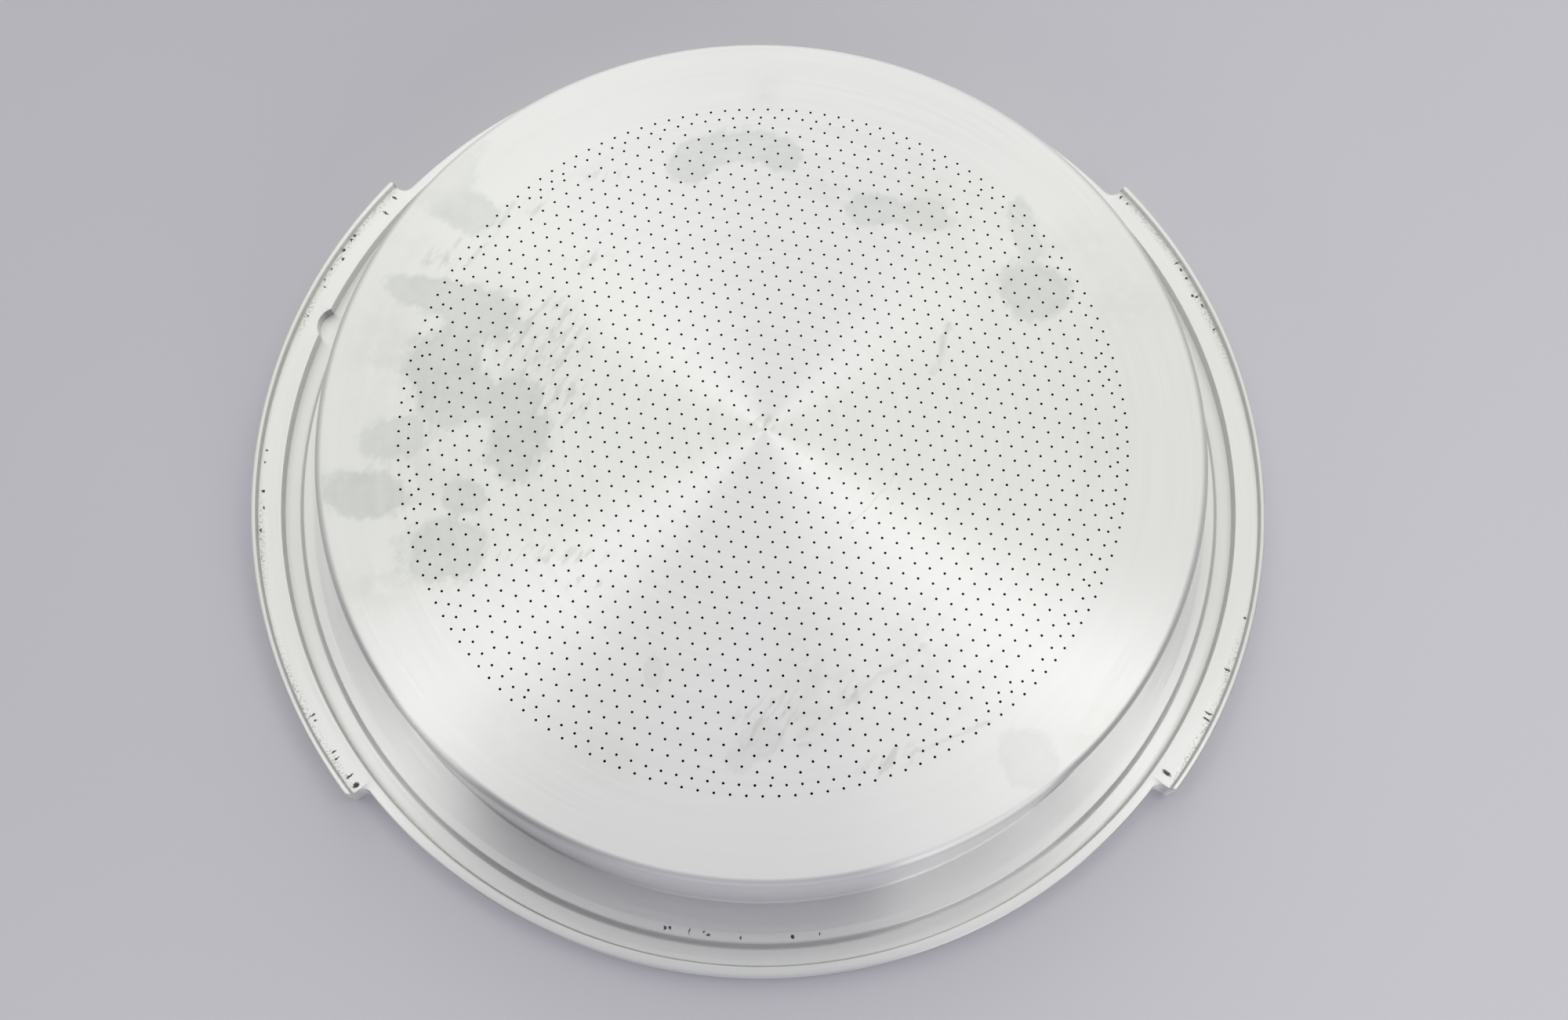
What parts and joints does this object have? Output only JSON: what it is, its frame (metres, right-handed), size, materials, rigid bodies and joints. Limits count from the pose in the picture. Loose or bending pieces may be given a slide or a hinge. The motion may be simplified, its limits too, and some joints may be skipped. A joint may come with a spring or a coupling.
{
  "type": "gas distribution showerhead",
  "caption": "Hat-shaped gas distribution plate of turned aluminium, with a finely perforated face, a hollow back and a stepped flange with two rimmed ears.",
  "frame": {"origin": "middle of the underside, on the drum's axis", "axes": "+Z out of the perforated face, +X through the middle of one ear"},
  "size_m": [0.3194, 0.3078, 0.05],
  "materials": {
    "turned_aluminium": "satin, finely turned in circles, with grey stains and fine scratches"
  },
  "bodies": {
    "root": {"showerhead": "turned_aluminium"}
  },
  "joints": []
}
